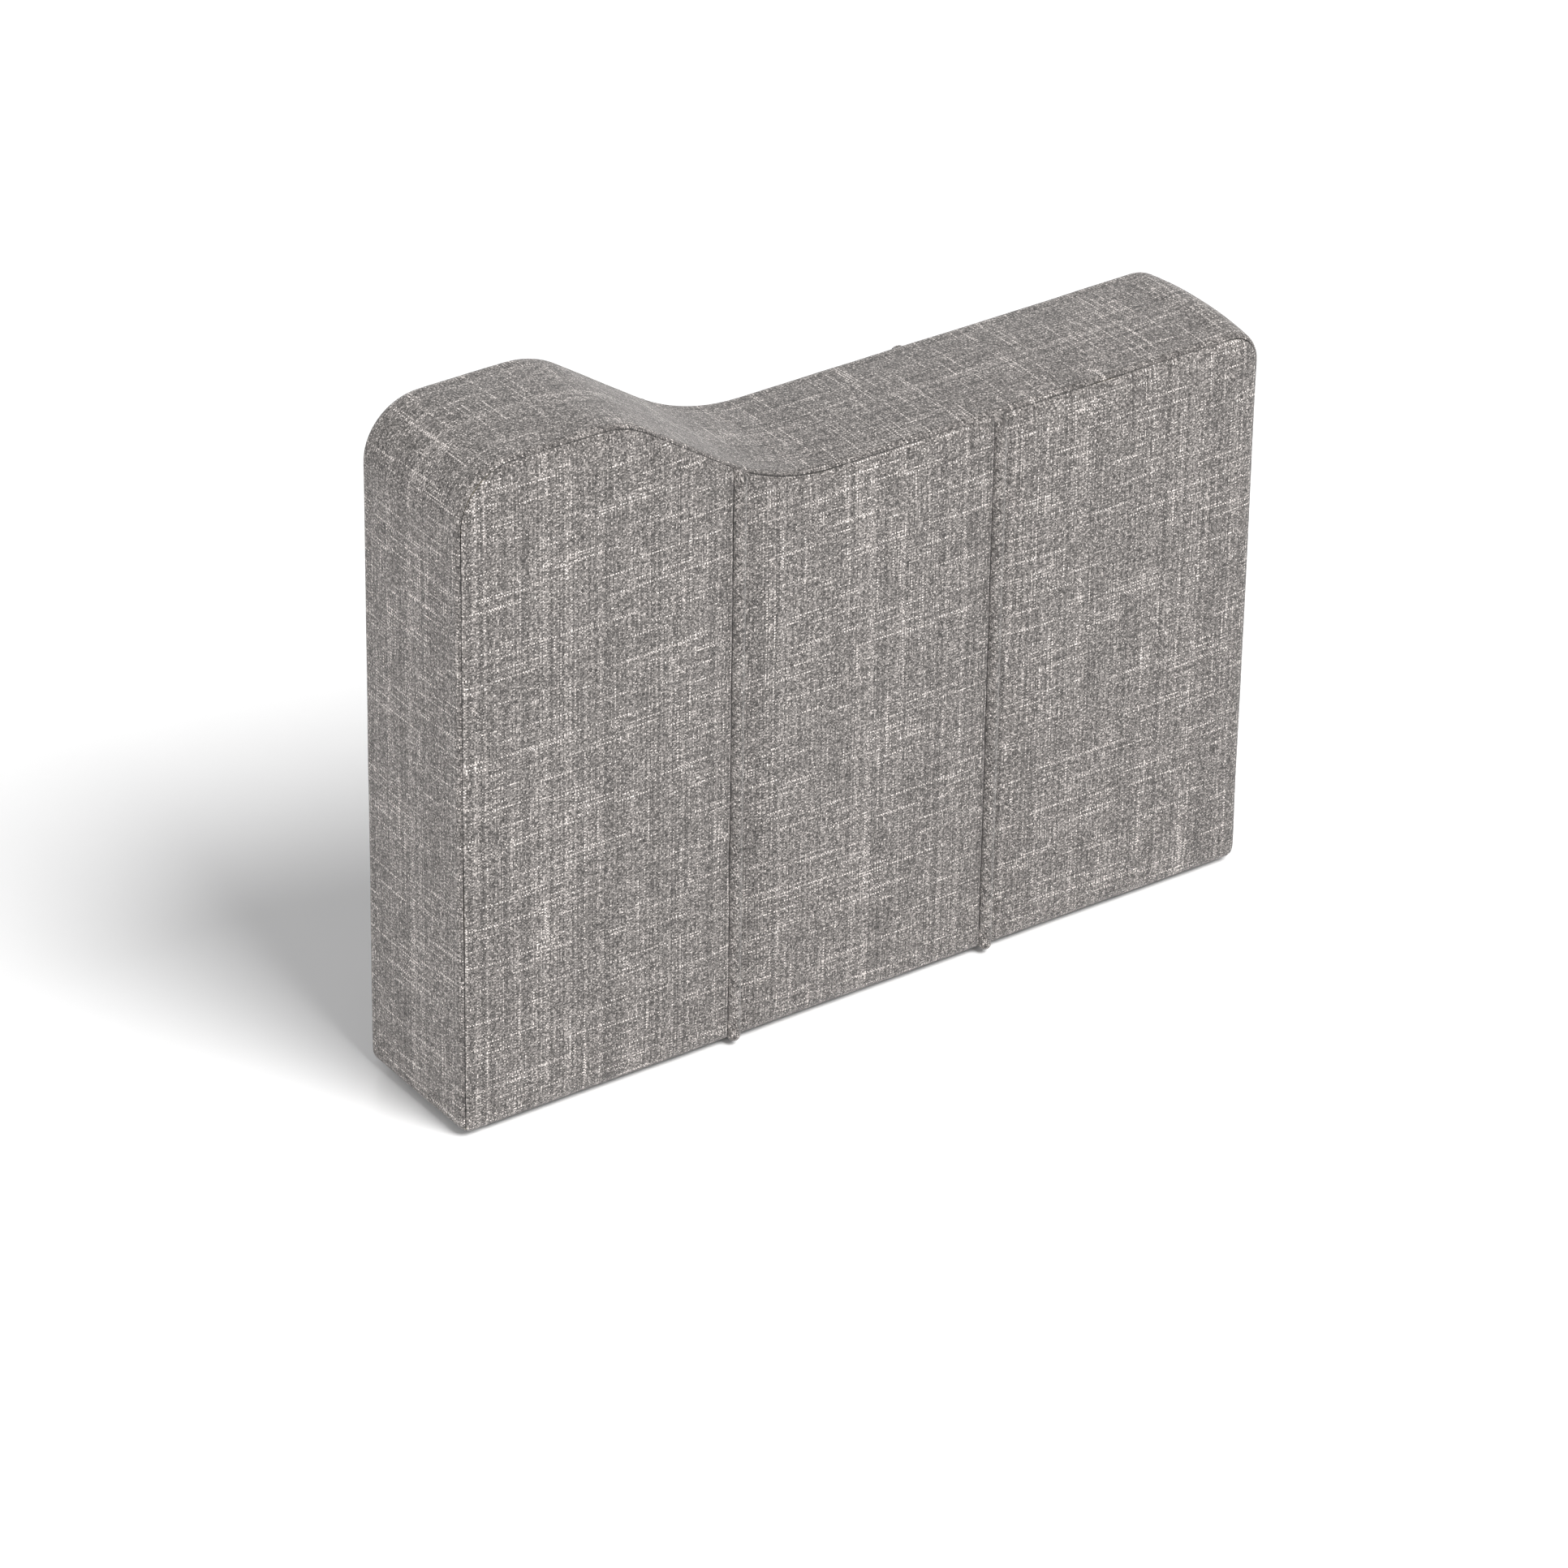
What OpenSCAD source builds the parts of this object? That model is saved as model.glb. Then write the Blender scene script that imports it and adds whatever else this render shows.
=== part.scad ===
// Free-standing upholstered divider panel with a stepped wave top.
// X runs along the length, from the tall end to the low end. The front faces -Y.
// Z is up, and z = 0 is the floor. The origin is the middle of the footprint.

/* [Overall] */
// Length over the cover
length = 1000; // [900:5:1400]
// Thickness over the cover, without the piping
thickness = 184; // [150:1:240]
// Height of the tall end, from the underside of the cover
tall_height = 772; // [700:1:950]
// Height of the low end, from the underside of the cover
low_height = 648; // [520:1:690]
// Height of the cover's underside above the floor
floor_gap = 5; // [4.5:0.5:12]

/* [Wave top] */
// Distance from the tall end to the start of the crest
crest_start = 168; // [150:1:240]
// Radius of the crest
crest_r = 108; // [60:1:140]
// Radius of the foot of the wave
foot_r = 227; // [120:1:260]
// Slope of the straight stretch between crest and foot, in degrees
slope_angle = 34; // [28:0.5:44]
// Corner radius at the top of the tall end
tall_corner_r = 66; // [50:1:90]
// Corner radius at the top of the low end
low_corner_r = 40; // [36:1:80]

/* [Upholstery] */
// Thickness of the cover fabric
fabric_t = 1.5; // [1:0.1:2.5]
// Thickness of the foam on the front and back
foam_t = 20; // [12:1:28]
// Thickness of the foam round the edge
edge_foam_t = 20; // [12:1:22]
// Width of the fabric turned under the base
hem_w = 40; // [36:1:50]
// Distance from the tall end to the first piped seam
piping_1_x = 335; // [300:1:360]
// Distance from the tall end to the second piped seam
piping_2_x = 660; // [560:1:720]
// Outer radius of the piping
piping_r = 6.8; // [5:0.1:8]
// Radius of the cord inside the piping
cord_r = 5.1; // [3:0.1:5.3]

/* [Frame] */
// Thickness of the skins
skin_t = 9; // [6:1:12]
// Thickness of the boards, rails and studs
board_t = 18; // [15:1:21]
// Thickness of the bent edge board
edge_board_t = 4; // [3:0.5:5]
// Leg of the glued corner blocks
block_leg = 40; // [25:1:50]

/* [Underside] */
// Thickness of the dust cover
dust_t = 0.6; // [0.4:0.1:0.8]
// Distance from each end to the glide axes
glide_from_end = 80; // [75:1:120]
// Distance of the glide axes from the middle plane
glide_y = 44; // [30:1:46]
// Radius of the glide pads
pad_r = 15; // [12:0.5:16]
// Radius of the glide stems
stem_r = 4; // [3:0.5:4]
// Length of the glide stems
stem_len = 36; // [34:1:44]

/* [Hidden] */
$fn = 128;

// Clearances: between curved layers, between sewn edges, and of turning threads
layer_gap = 0.1;
seam_gap = 0.3;
thread_gap = 0.05;
// How far an arc runs past the straight that it blends into, so that they cross cleanly
blend = 0.01;

// The outline in the XZ plane
left = -length / 2;
right = length / 2;
cover_z = floor_gap;
tall_z = floor_gap + tall_height;
low_z = floor_gap + low_height;
crest_x = left + crest_start;
crest_z = tall_z - crest_r;
wave_drop = (crest_r + foot_r) * (1 - cos(slope_angle));
slope_len = (tall_z - low_z - wave_drop) / sin(slope_angle);
foot_x = crest_x + (crest_r + foot_r) * sin(slope_angle) + slope_len * cos(slope_angle);
foot_z = low_z + foot_r;
slope_out = [sin(slope_angle), cos(slope_angle)];

// The layers, counted inwards from the cover's outer face
front_y = -thickness / 2;
foam_y = front_y + fabric_t;
skin_y = foam_y + foam_t;
core_y = skin_y + skin_t;
core_w = -2 * core_y;
frame_z = cover_z + fabric_t;
base_top = frame_z + board_t;
edge_board_in = fabric_t + edge_foam_t;
frame_in = edge_board_in + edge_board_t + layer_gap;

// The seams and the underside
seam_1_x = left + piping_1_x;
seam_2_x = left + piping_2_x;
seam_half = piping_r + seam_gap;
dust_overlap = 12;
dust_x = length / 2 - hem_w + dust_overlap;
dust_y = thickness / 2 - hem_w + dust_overlap;
glide_x = length / 2 - glide_from_end;

// Fasteners
screw_r = 2;
screw_head_r = 4;
screw_head_h = 2.2;
screw_len = 40;
screw_pitch = 190;
tnut_barrel_r = 4.9;
tnut_barrel_len = 11;
tnut_flange_r = 10;
tnut_flange_t = 1.6;
staple_crown = 10;
staple_leg = 8;
staple_wire = 0.7;
staple_pitch = 70;
staple_in = 6;

fabric_color = [0.60, 0.58, 0.56];
foam_color = [0.93, 0.90, 0.80];
ply_color = [0.80, 0.66, 0.46];
board_color = [0.47, 0.34, 0.22];
steel_color = [0.75, 0.76, 0.78];
dust_color = [0.13, 0.13, 0.14];
pad_color = [0.10, 0.10, 0.11];
cord_color = [0.90, 0.88, 0.83];

// ---- Outline --------------------------------------------------------------

// What a rounded top corner loses: the corner is on the side of its centre that side gives
module corner_waste(x, z, r, side) {
    difference() {
        translate([side > 0 ? x : x - 2 * r, z])
            square(2 * r);
        translate([x, z])
            circle(r + blend);
    }
}

// The panel's outline, moved inwards by inset and cut off level at bottom
module outline(inset, bottom) {
    top = tall_z - inset;
    low = low_z - inset;
    crest = [crest_x, crest_z] + (crest_r - inset) * slope_out;
    foot = [foot_x, foot_z] - (foot_r + inset) * slope_out;
    difference() {
        translate([left + inset, bottom])
            square([length - 2 * inset, top - bottom]);
        corner_waste(left + tall_corner_r, tall_z - tall_corner_r, tall_corner_r - inset, -1);
        corner_waste(right - low_corner_r, low_z - low_corner_r, low_corner_r - inset, 1);
        difference() {
            polygon([
                [crest_x, crest_z], [crest_x, top + 1], [right + 1, top + 1],
                [right + 1, low], [foot_x, low], [foot_x, foot_z], foot, crest
            ]);
            translate([crest_x, crest_z])
                circle(crest_r - inset + blend);
        }
        translate([foot_x, foot_z])
            circle(foot_r + inset + blend);
    }
}

// A slab of a flat shape in the XZ plane, from y to y + depth
module slab(y, depth) {
    translate([0, y + depth, 0])
        rotate([90, 0, 0])
            linear_extrude(depth)
                children();
}

// A band of the outline, between two insets, open at the bottom
module band(outer, inner, bottom) {
    difference() {
        outline(outer, bottom);
        outline(inner, bottom - 1);
    }
}

// The same piece on the back: the front one mirrored in the middle plane
module on_back() {
    mirror([0, 1, 0])
        children();
}

// ---- Frame ----------------------------------------------------------------

// The four glide axes
module at_glides() {
    for (sx = [-1, 1], sy = [-1, 1])
        translate([sx * glide_x, sy * glide_y, 0])
            children();
}

// Where the skins are screwed to the boards, as [x, z]
end_x = left + frame_in + board_t / 2;
base_screws = [for (i = [-2 : 2]) [i * screw_pitch, frame_z + board_t / 2]];
tall_end_screws = [for (i = [1 : 3]) [end_x, frame_z + i * screw_pitch - board_t]];
low_end_screws = [for (i = [1 : 3]) [-end_x, frame_z + i * screw_pitch - board_t]];
tall_stud_screws = [for (i = [1 : 2]) [seam_1_x, frame_z + i * screw_pitch]];
low_stud_screws = [for (i = [1 : 2]) [seam_2_x, frame_z + i * screw_pitch]];
tall_rail_screws = [for (i = [1, 2]) [
    left + tall_corner_r + (i - 0.5) * (crest_start - tall_corner_r) / 2,
    tall_z - frame_in - board_t / 2
]];
low_rail_screws = [for (i = [0 : 2]) [
    foot_x + (i + 0.5) * (right - low_corner_r - foot_x) / 3,
    low_z - frame_in - board_t / 2
]];
slope_rail_mid = [crest_x, crest_z]
    + (crest_r - frame_in - board_t / 2) * slope_out
    + slope_len / 2 * [slope_out[1], -slope_out[0]];
slope_rail_screws = [for (i = [-1, 1])
    slope_rail_mid + i * slope_len / 4 * [slope_out[1], -slope_out[0]]
];
frame_screw_points = concat(
    base_screws, tall_end_screws, low_end_screws, tall_stud_screws, low_stud_screws,
    tall_rail_screws, low_rail_screws, slope_rail_screws
);

// One countersunk screw with its head in the front skin, grown by clear
module screw(clear) {
    rotate([-90, 0, 0]) {
        cylinder(h = screw_head_h, r1 = screw_head_r + clear, r2 = screw_r + clear);
        cylinder(h = screw_len + clear, r = screw_r + clear);
    }
}

// The screws at the given points, through both skins
module screws(points, clear) {
    for (p = points) {
        translate([p[0], skin_y, p[1]])
            screw(clear);
        on_back()
            translate([p[0], skin_y, p[1]])
                screw(clear);
    }
}

module base_board() {
    color(board_color)
        difference() {
            translate([left + frame_in, core_y, frame_z])
                cube([length - 2 * frame_in, core_w, board_t]);
            screws(base_screws, thread_gap);
            at_glides() {
                translate([0, 0, frame_z - 1])
                    cylinder(h = board_t + 2, r = tnut_barrel_r + layer_gap);
                translate([0, 0, frame_z - 1])
                    cylinder(h = tnut_flange_t + layer_gap + 1, r = tnut_flange_r + layer_gap);
            }
        }
}

module skin() {
    difference() {
        slab(skin_y, skin_t)
            outline(frame_in, frame_z);
        screws(frame_screw_points, thread_gap);
    }
}

module front_skin() {
    color(ply_color)
        skin();
}

module back_skin() {
    color(ply_color)
        on_back()
            skin();
}

// The rails under the edge board, as flat shapes
module tall_rail_shape() {
    intersection() {
        outline(frame_in, frame_z);
        translate([left, tall_z - frame_in - board_t])
            square([crest_start, board_t]);
    }
}

module low_rail_shape() {
    intersection() {
        outline(frame_in, frame_z);
        translate([foot_x, low_z - frame_in - board_t])
            square([right - foot_x, board_t]);
    }
}

module slope_rail_shape() {
    translate(slope_rail_mid)
        rotate(-slope_angle)
            square([slope_len, board_t], center = true);
}

// An upright board at x, from the base board up to the rails or the edge board
module upright(x) {
    slab(core_y, core_w)
        difference() {
            intersection() {
                outline(frame_in, frame_z);
                translate([x - board_t / 2, base_top])
                    square([board_t, tall_z]);
            }
            tall_rail_shape();
            low_rail_shape();
            slope_rail_shape();
        }
}

module tall_end_board() {
    color(board_color)
        difference() {
            upright(end_x);
            screws(tall_end_screws, thread_gap);
        }
}

module low_end_board() {
    color(board_color)
        difference() {
            upright(-end_x);
            screws(low_end_screws, thread_gap);
        }
}

module tall_stud() {
    color(board_color)
        difference() {
            upright(seam_1_x);
            screws(tall_stud_screws, thread_gap);
        }
}

module low_stud() {
    color(board_color)
        difference() {
            upright(seam_2_x);
            screws(low_stud_screws, thread_gap);
        }
}

module tall_top_rail() {
    color(board_color)
        difference() {
            slab(core_y, core_w)
                tall_rail_shape();
            screws(tall_rail_screws, thread_gap);
        }
}

module slope_rail() {
    color(board_color)
        difference() {
            slab(core_y, core_w)
                slope_rail_shape();
            screws(slope_rail_screws, thread_gap);
        }
}

module low_top_rail() {
    color(board_color)
        difference() {
            slab(core_y, core_w)
                low_rail_shape();
            screws(low_rail_screws, thread_gap);
        }
}

module edge_board() {
    color(ply_color)
        slab(skin_y, -2 * skin_y)
            band(edge_board_in, edge_board_in + edge_board_t, frame_z);
}

// A triangular block in the corner at [x, z], its legs running along sx and sz
module corner_block(x, z, sx, sz) {
    slab(-core_w / 4, core_w / 2)
        polygon([[x, z], [x + sx * block_leg, z], [x, z + sz * block_leg]]);
}

module corner_blocks() {
    inner_x = left + frame_in + board_t;
    color(ply_color) {
        corner_block(inner_x, base_top, 1, 1);
        corner_block(-inner_x, base_top, -1, 1);
        corner_block(inner_x, tall_z - frame_in - board_t, 1, -1);
        corner_block(-inner_x, low_z - frame_in - board_t, -1, -1);
    }
}

module frame_screws() {
    color(steel_color)
        screws(frame_screw_points, 0);
}

module t_nuts() {
    color(steel_color)
        at_glides()
            difference() {
                union() {
                    translate([0, 0, frame_z])
                        cylinder(h = tnut_flange_t, r = tnut_flange_r);
                    translate([0, 0, frame_z])
                        cylinder(h = tnut_flange_t + tnut_barrel_len, r = tnut_barrel_r);
                }
                translate([0, 0, frame_z - 1])
                    cylinder(h = tnut_flange_t + tnut_barrel_len + 2, r = stem_r + thread_gap);
            }
}

// ---- Foam -----------------------------------------------------------------

// The round space that the piping takes up at both seams
module piping_space() {
    for (x = [seam_1_x, seam_2_x])
        translate([x, front_y, 0])
            cylinder(h = tall_z, r = seam_half);
}

module face_foam() {
    difference() {
        slab(foam_y + layer_gap, foam_t - 2 * layer_gap)
            outline(fabric_t + layer_gap, frame_z);
        piping_space();
    }
}

module front_foam() {
    color(foam_color)
        face_foam();
}

module back_foam() {
    color(foam_color)
        on_back()
            face_foam();
}

module edge_foam() {
    color(foam_color)
        slab(skin_y, -2 * skin_y)
            band(fabric_t + layer_gap, edge_board_in - layer_gap, frame_z);
}

// ---- Covers ---------------------------------------------------------------

// The holes that let the glide stems through the fabric under the base
module stem_holes() {
    at_glides()
        translate([0, 0, cover_z - dust_t - 1])
            cylinder(h = dust_t + fabric_t + 2, r = stem_r + 2);
}

// One face panel from x1 to x2, with its lower edge turned under the base.
// The hem stops short of the border band at the ends of the panel.
module face_cover(x1, x2) {
    hem_x1 = max(x1, left + fabric_t + layer_gap);
    hem_x2 = min(x2, right - fabric_t - layer_gap);
    slab(front_y, fabric_t)
        intersection() {
            outline(0, cover_z);
            translate([x1, cover_z])
                square([x2 - x1, tall_height]);
        }
    difference() {
        translate([hem_x1, front_y, cover_z])
            cube([hem_x2 - hem_x1, hem_w, fabric_t]);
        stem_holes();
    }
}

module face_cover_tall() {
    face_cover(left, seam_1_x - seam_half);
}

module face_cover_middle() {
    face_cover(seam_1_x + seam_half, seam_2_x - seam_half);
}

module face_cover_low() {
    face_cover(seam_2_x + seam_half, right);
}

module front_cover_tall() {
    color(fabric_color)
        face_cover_tall();
}

module front_cover_middle() {
    color(fabric_color)
        face_cover_middle();
}

module front_cover_low() {
    color(fabric_color)
        face_cover_low();
}

module back_cover_tall() {
    color(fabric_color)
        on_back()
            face_cover_tall();
}

module back_cover_middle() {
    color(fabric_color)
        on_back()
            face_cover_middle();
}

module back_cover_low() {
    color(fabric_color)
        on_back()
            face_cover_low();
}

module border_cover() {
    hem_half = thickness / 2 - hem_w - seam_gap;
    color(fabric_color) {
        slab(foam_y, -2 * foam_y)
            band(0, fabric_t, cover_z);
        difference() {
            for (x = [left, right - hem_w])
                translate([x, -hem_half, cover_z])
                    cube([hem_w, 2 * hem_half, fabric_t]);
            stem_holes();
        }
    }
}

// ---- Piping ---------------------------------------------------------------

// A round bar along the seam at x, ending just under the border band
module seam_bar(x, r) {
    intersection() {
        translate([x, front_y, cover_z])
            cylinder(h = tall_height, r = r);
        slab(front_y - piping_r - 1, 2 * piping_r + 2)
            outline(fabric_t + seam_gap, cover_z);
    }
}

module piping_cover(x) {
    difference() {
        seam_bar(x, piping_r);
        translate([x, front_y, 0])
            cylinder(h = tall_z, r = cord_r + layer_gap);
    }
}

module front_piping_cover_1() {
    color(fabric_color)
        piping_cover(seam_1_x);
}

module front_piping_cover_2() {
    color(fabric_color)
        piping_cover(seam_2_x);
}

module back_piping_cover_1() {
    color(fabric_color)
        on_back()
            piping_cover(seam_1_x);
}

module back_piping_cover_2() {
    color(fabric_color)
        on_back()
            piping_cover(seam_2_x);
}

module front_piping_cord_1() {
    color(cord_color)
        seam_bar(seam_1_x, cord_r);
}

module front_piping_cord_2() {
    color(cord_color)
        seam_bar(seam_2_x, cord_r);
}

module back_piping_cord_1() {
    color(cord_color)
        on_back()
            seam_bar(seam_1_x, cord_r);
}

module back_piping_cord_2() {
    color(cord_color)
        on_back()
            seam_bar(seam_2_x, cord_r);
}

// ---- Underside ------------------------------------------------------------

module dust_cover() {
    color(dust_color)
        difference() {
            translate([-dust_x, -dust_y, cover_z - dust_t])
                cube([2 * dust_x, 2 * dust_y, dust_t]);
            stem_holes();
        }
}

// A staple at the origin, its crown along X and its legs up into the base
module staple() {
    translate([-staple_crown / 2, -staple_wire / 2, -staple_wire])
        cube([staple_crown, staple_wire, staple_wire]);
    for (x = [-staple_crown / 2, staple_crown / 2 - staple_wire])
        translate([x, -staple_wire / 2, -staple_wire])
            cube([staple_wire, staple_wire, staple_leg]);
}

module staples() {
    staples_each_way = floor((glide_x - pad_r - staple_crown) / staple_pitch);
    color(steel_color) {
        for (i = [-staples_each_way : staples_each_way], sy = [-1, 1])
            translate([i * staple_pitch, sy * (dust_y - staple_in), cover_z - dust_t])
                staple();
        for (sx = [-1, 1], sy = [-1, 1])
            translate([sx * (dust_x - staple_in), sy * dust_y / 3, cover_z - dust_t])
                rotate(90)
                    staple();
    }
}

// ---- Glides ---------------------------------------------------------------

pad_h = cover_z - dust_t - seam_gap;
pad_edge_h = 2.2;
pad_floor_t = 1.6;
pad_boss_r = 8.5;
pad_chamfer = 0.8;

// Turned plastic pad with a blind socket for the stem
module pad(sx, sy) {
    color(pad_color)
        translate([sx * glide_x, sy * glide_y, 0])
            difference() {
                rotate_extrude()
                    polygon([
                        [0, 0], [pad_r - pad_chamfer, 0], [pad_r, pad_chamfer],
                        [pad_r, pad_edge_h], [pad_boss_r, pad_h], [0, pad_h]
                    ]);
                translate([0, 0, pad_floor_t])
                    cylinder(h = pad_h, r = stem_r + thread_gap);
            }
}

module stem(sx, sy) {
    color(steel_color)
        translate([sx * glide_x, sy * glide_y, pad_floor_t]) {
            cylinder(h = stem_len - 1, r = stem_r);
            translate([0, 0, stem_len - 1])
                cylinder(h = 1, r1 = stem_r, r2 = stem_r - 1);
        }
}

module glide_tall_front_pad() {
    pad(-1, -1);
}

module glide_tall_back_pad() {
    pad(-1, 1);
}

module glide_low_front_pad() {
    pad(1, -1);
}

module glide_low_back_pad() {
    pad(1, 1);
}

module glide_tall_front_stem() {
    stem(-1, -1);
}

module glide_tall_back_stem() {
    stem(-1, 1);
}

module glide_low_front_stem() {
    stem(1, -1);
}

module glide_low_back_stem() {
    stem(1, 1);
}

base_board();
front_skin();
back_skin();
tall_end_board();
low_end_board();
tall_stud();
low_stud();
tall_top_rail();
slope_rail();
low_top_rail();
edge_board();
corner_blocks();
frame_screws();
t_nuts();
front_foam();
back_foam();
edge_foam();
front_cover_tall();
front_cover_middle();
front_cover_low();
back_cover_tall();
back_cover_middle();
back_cover_low();
border_cover();
front_piping_cover_1();
front_piping_cover_2();
back_piping_cover_1();
back_piping_cover_2();
front_piping_cord_1();
front_piping_cord_2();
back_piping_cord_1();
back_piping_cord_2();
dust_cover();
staples();
glide_tall_front_pad();
glide_tall_back_pad();
glide_low_front_pad();
glide_low_back_pad();
glide_tall_front_stem();
glide_tall_back_stem();
glide_low_front_stem();
glide_low_back_stem();
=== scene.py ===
import math

import bmesh
import bpy
import numpy as np
from mathutils import Matrix, Vector, noise


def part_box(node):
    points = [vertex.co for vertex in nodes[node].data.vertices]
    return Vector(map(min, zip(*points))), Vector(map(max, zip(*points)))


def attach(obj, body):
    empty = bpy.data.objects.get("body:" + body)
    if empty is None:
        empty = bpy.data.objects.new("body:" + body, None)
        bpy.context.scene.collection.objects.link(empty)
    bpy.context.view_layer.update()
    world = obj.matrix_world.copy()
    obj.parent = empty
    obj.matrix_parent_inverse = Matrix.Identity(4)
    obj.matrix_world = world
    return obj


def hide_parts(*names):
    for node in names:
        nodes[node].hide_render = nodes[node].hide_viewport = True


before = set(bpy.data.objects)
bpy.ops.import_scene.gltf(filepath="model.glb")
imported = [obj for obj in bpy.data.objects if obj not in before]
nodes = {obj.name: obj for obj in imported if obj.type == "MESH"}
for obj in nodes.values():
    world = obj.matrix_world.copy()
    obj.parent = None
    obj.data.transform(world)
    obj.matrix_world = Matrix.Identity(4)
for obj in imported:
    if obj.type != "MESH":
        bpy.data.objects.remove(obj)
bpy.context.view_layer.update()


# ---- Frame boards -----------------------------------------------------------
# The skins, the bent edge board and the corner blocks are birch plywood. The
# base, ends, studs and rails are sawn pine board. All are raw, glued and screwed.

def shader_node(tree, kind, **values):
    """Adds one node. Inputs go by name, or by number as i0, i1, and a given socket is linked."""
    made = tree.nodes.new(kind)
    for name, value in values.items():
        if name[0] == "i" and name[1:].isdigit():
            socket = made.inputs[int(name[1:])]
        elif name.replace("_", " ") in made.inputs:
            socket = made.inputs[name.replace("_", " ")]
        else:
            setattr(made, name, value)
            continue
        if isinstance(value, bpy.types.NodeSocket):
            tree.links.new(value, socket)
        else:
            socket.default_value = value
    return made


def new_finish(name, **constants):
    """A material with a Principled shader; constants are set on its own sockets."""
    material = bpy.data.materials.new(name)
    material.use_nodes = True
    tree = material.node_tree
    shader = tree.nodes["Principled BSDF"]
    for socket, value in constants.items():
        shader.inputs[socket.replace("_", " ")].default_value = value
    return material, tree, shader


def math_node(tree, operation, a, b=0.0, c=0.0):
    return shader_node(tree, "ShaderNodeMath", operation=operation, i0=a, i1=b, i2=c).outputs[0]


def ramp(tree, factor, stops):
    """A colour ramp over the given stops, each (place, grey) or (place, (r, g, b))."""
    made = shader_node(tree, "ShaderNodeValToRGB", i0=factor)
    elements = made.color_ramp.elements
    while len(elements) < len(stops):
        elements.new(1.0)
    for element, (place, value) in zip(elements, stops):
        element.position = place
        rgb = (value,) * 3 if isinstance(value, (int, float)) else value
        element.color = (*rgb, 1)
    return made.outputs[0]


def give_finish(piece, material):
    piece.data.materials.clear()
    piece.data.materials.append(material)


def object_place(tree):
    """Where a spot is on the object, in metres."""
    return shader_node(tree, "ShaderNodeTexCoord").outputs["Object"]

def shade_by(tree, shader, socket, factor, stops):
    """Colour or roughness that follows a factor over the given stops."""
    tree.links.new(ramp(tree, factor, stops), shader.inputs[socket])

def roughen(tree, shader, height, strength, distance):
    """Fine relief, as a bump on the shader's normal."""
    bump = shader_node(tree, "ShaderNodeBump", Height=height, Strength=strength, Distance=distance)
    tree.links.new(bump.outputs[0], shader.inputs["Normal"])

def wood_grain(name, early, late, ring, stretch):
    """Sawn wood: growth rings seen along the board, with fine pores and a rough sawn face."""
    material, tree, shader = new_finish(name, Roughness=0.72)
    place = object_place(tree)
    along = shader_node(tree, "ShaderNodeMapping", Vector=place, Scale=stretch).outputs[0]
    rings = shader_node(tree, "ShaderNodeTexWave", Vector=along, Scale=ring, Distortion=5.0, Detail=3.0)
    pores = shader_node(tree, "ShaderNodeTexNoise", Vector=along, Scale=ring * 40, Detail=4.0)
    blotch = shader_node(tree, "ShaderNodeTexNoise", Vector=place, Scale=7.0, Detail=2.0)
    mixed = math_node(tree, "MULTIPLY_ADD", pores.outputs[0], 0.35, rings.outputs[1])
    mixed = math_node(tree, "MULTIPLY_ADD", blotch.outputs[0], 0.3, mixed)
    shade_by(tree, shader, "Base Color", mixed, [(0.2, early), (0.75, late), (1.0, early)])
    roughen(tree, shader, mixed, 0.35, 0.0006)
    return material


birch = wood_grain("birch_plywood", (0.72, 0.54, 0.34), (0.58, 0.40, 0.23), 4.0, (1.0, 6.0, 0.35))
pine = wood_grain("pine_board", (0.74, 0.55, 0.30), (0.55, 0.34, 0.16), 6.0, (0.5, 2.0, 1.2))
for name in ("front_skin", "back_skin", "edge_board", "corner_blocks"):
    give_finish(nodes[name], birch)
for name in ("base_board", "tall_end_board", "low_end_board", "tall_stud", "low_stud",
             "tall_top_rail", "slope_rail", "low_top_rail"):
    give_finish(nodes[name], pine)


# ---- Screws, T-nuts, staples and glide stems ----------------------------------
# Zinc-plated steel. The screws are driven flush through the skins, the T-nuts
# sit in the base board, and the staples hold the dust cloth.

zinc, tree, shader = new_finish("zinc_steel", Metallic=1.0)
place = object_place(tree)
spangle = shader_node(tree, "ShaderNodeTexVoronoi", Vector=place, Scale=900.0)
streaks = shader_node(tree, "ShaderNodeTexNoise", Vector=place, Scale=2600.0, Detail=3.0)
tone = math_node(tree, "MULTIPLY_ADD", spangle.outputs[0], 0.5, streaks.outputs[0])
shade_by(tree, shader, "Base Color", tone, [(0.3, (0.50, 0.51, 0.53)), (0.9, (0.78, 0.79, 0.80))])
shade_by(tree, shader, "Roughness", tone, [(0.2, 0.28), (1.0, 0.52)])
for name in nodes:
    if name in ("frame_screws", "t_nuts", "staples") or name.endswith("_stem"):
        give_finish(nodes[name], zinc)


# ---- The outline that the foam and the covers follow ----------------------------
# One run up the tall end, over the wave and down the low end. Everything soft is
# cut to it. Sizes come from the frame; the arcs of the wave are the pattern's own.

left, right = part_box("border_cover")[0].x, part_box("border_cover")[1].x
tall_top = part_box("border_cover")[1].z
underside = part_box("border_cover")[0].z
low_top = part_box("front_cover_low")[1].z
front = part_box("front_cover_low")[0].y
crest_start = 0.168
crest_r = 0.108
foot_r = 0.227
slope = math.radians(34)
tall_corner_r = 0.066
low_corner_r = 0.040
edge_r = 0.012

quarter = math.pi / 2
slope_run = (tall_top - low_top - (crest_r + foot_r) * (1 - math.cos(slope))) / math.sin(slope)
foot_x = left + crest_start + (crest_r + foot_r) * math.sin(slope) + slope_run * math.cos(slope)


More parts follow.
